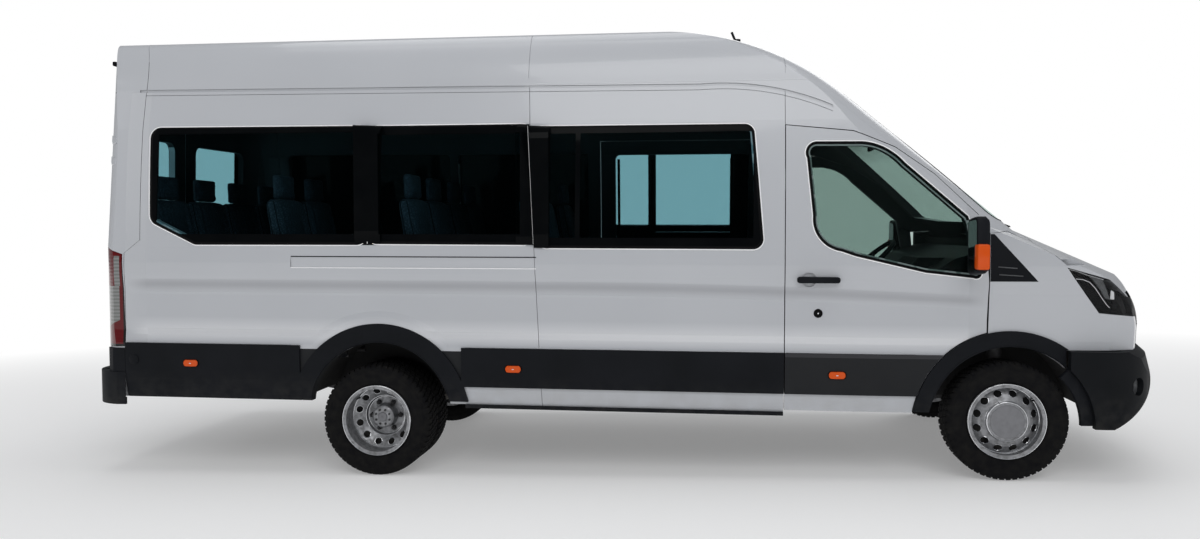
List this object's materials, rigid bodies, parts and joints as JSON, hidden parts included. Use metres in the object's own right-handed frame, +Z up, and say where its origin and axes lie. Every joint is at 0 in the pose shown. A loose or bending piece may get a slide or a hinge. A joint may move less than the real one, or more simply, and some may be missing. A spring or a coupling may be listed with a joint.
{
  "type": "minibus",
  "caption": "Long high-roof passenger minibus with twin rear wheels, barn rear doors, a side sliding door and steered front wheels.",
  "frame": {"origin": "on the ground, at mid-length on the centre plane, below the cabin", "axes": "+X forward out of the nose, +Y to the vehicle's left, +Z up"},
  "size_m": [6.7327, 2.4584, 2.8225],
  "materials": {
    "white_paint": "gloss",
    "glass_dark": "gloss",
    "glass_clear": "gloss",
    "plastic_dark": "satin",
    "plastic_grey": "satin",
    "lens_red": "gloss",
    "lens_clear": "gloss",
    "tyre_rubber": "matt",
    "rim_silver": "satin",
    "steel_dark": "satin",
    "underbody": "matt",
    "seat_cloth": "matt",
    "cast_iron": "matt"
  },
  "bodies": {
    "body": {"antenna": "plastic_dark", "bulkhead": "underbody", "cabin_seats": "seat_cloth", "chassis_rails": "underbody", "dash": "plastic_dark", "driveline": "steel_dark", "engine": "cast_iron", "exhaust": "steel_dark", "floor": "underbody", "fog_lamps": "lens_clear", "front_bumper": "plastic_grey", "front_seats": "seat_cloth", "front_suspension": "steel_dark", "fuel_tank": "plastic_dark", "grille": "plastic_dark", "headlamps": "lens_clear", "leaf_springs": "steel_dark", "mid_panel_right": "white_paint", "mouldings_left": "plastic_dark", "mouldings_right": "plastic_dark", "quarter_left": "white_paint", "quarter_right": "white_paint", "radiator": "steel_dark", "rear_axle": "cast_iron", "rear_bumper": "plastic_dark", "rear_frame": "white_paint", "roof": "white_paint", "side_glass_left": "glass_dark", "side_glass_right": "glass_dark", "sliding_door": "white_paint", "tail_lamps": "lens_red", "wheel_wells": "underbody", "windscreen": "glass_clear", "windscreen_frame": "white_paint", "wing_left": "white_paint", "wing_right": "white_paint"},
    "knuckle_right": {"knuckle_right": "cast_iron"},
    "wheel_front_right": {"front_rim_right": "rim_silver", "front_tyre_right": "tyre_rubber"},
    "wheel_rear_right": {"rear_rim_right": "rim_silver", "rear_tyres_right": "tyre_rubber"},
    "door_front_right": {"front_door_right": "white_paint", "front_door_glass_right": "glass_clear", "mirror_right": "plastic_dark"},
    "door_rear_right": {"rear_door_right": "white_paint", "rear_door_glass_right": "glass_dark"},
    "knuckle_left": {"knuckle_left": "cast_iron"},
    "wheel_front_left": {"front_rim_left": "rim_silver", "front_tyre_left": "tyre_rubber"},
    "wheel_rear_left": {"rear_rim_left": "rim_silver", "rear_tyres_left": "tyre_rubber"},
    "door_front_left": {"front_door_left": "white_paint", "front_door_glass_left": "glass_clear", "mirror_left": "plastic_dark"},
    "door_rear_left": {"rear_door_left": "white_paint", "rear_door_glass_left": "glass_dark"},
    "bonnet_lid": {"bonnet": "white_paint"},
    "steering_wheel": {"steering_wheel": "plastic_dark"}
  },
  "joints": [
    {"name": "steer_right", "type": "hinge", "parent": "body", "child": "knuckle_right", "pos_m": [2.329, -0.715, 0.345], "axis": [0, 0, 1], "range_deg": [-33, 33]},
    {"name": "steer_left", "type": "hinge", "parent": "body", "child": "knuckle_left", "pos_m": [2.329, 0.715, 0.345], "axis": [0, 0, 1], "range_deg": [-33, 33]},
    {"name": "roll_front_right", "type": "hinge", "parent": "knuckle_right", "child": "wheel_front_right", "pos_m": [2.329, -0.87, 0.345], "axis": [0, 1, 0], "continuous": true},
    {"name": "roll_front_left", "type": "hinge", "parent": "knuckle_left", "child": "wheel_front_left", "pos_m": [2.329, 0.87, 0.345], "axis": [0, 1, 0], "continuous": true},
    {"name": "roll_rear_right", "type": "hinge", "parent": "body", "child": "wheel_rear_right", "pos_m": [-1.421, -0.795, 0.345], "axis": [0, 1, 0], "continuous": true},
    {"name": "roll_rear_left", "type": "hinge", "parent": "body", "child": "wheel_rear_left", "pos_m": [-1.421, 0.795, 0.345], "axis": [0, 1, 0], "continuous": true},
    {"name": "front_door_right_hinge", "type": "hinge", "parent": "body", "child": "door_front_right", "pos_m": [2.24394, -1.022, 1.05122], "axis": [0.0218, 0, 0.9998], "range_deg": [0, 68]},
    {"name": "front_door_left_hinge", "type": "hinge", "parent": "body", "child": "door_front_left", "pos_m": [2.24394, 1.022, 1.05122], "axis": [-0.0218, 0, -0.9998], "range_deg": [0, 68]},
    {"name": "rear_door_right_hinge", "type": "hinge", "parent": "body", "child": "door_rear_right", "pos_m": [-3.25621, -0.917, 1.4713], "axis": [0.0218, 0, 0.9998], "range_deg": [0, 180]},
    {"name": "rear_door_left_hinge", "type": "hinge", "parent": "body", "child": "door_rear_left", "pos_m": [-3.25621, 0.917, 1.4713], "axis": [-0.0218, 0, -0.9998], "range_deg": [0, 180]},
    {"name": "bonnet_hinge", "type": "hinge", "parent": "body", "child": "bonnet_lid", "pos_m": [2.51376, 0, 1.45243], "axis": [0, -1, 0], "range_deg": [0, 55]},
    {"name": "steering_wheel_turn", "type": "hinge", "parent": "body", "child": "steering_wheel", "pos_m": [1.64523, -0.48, 1.25433], "axis": [-0.6528, 0, 0.7576], "range_deg": [-528, 528]}
  ],
  "couplings": [
    {"joint": "steer_left", "follows": "steer_right", "ratio": 1},
    {"joint": "steering_wheel_turn", "follows": "steer_right", "ratio": 16}
  ]
}
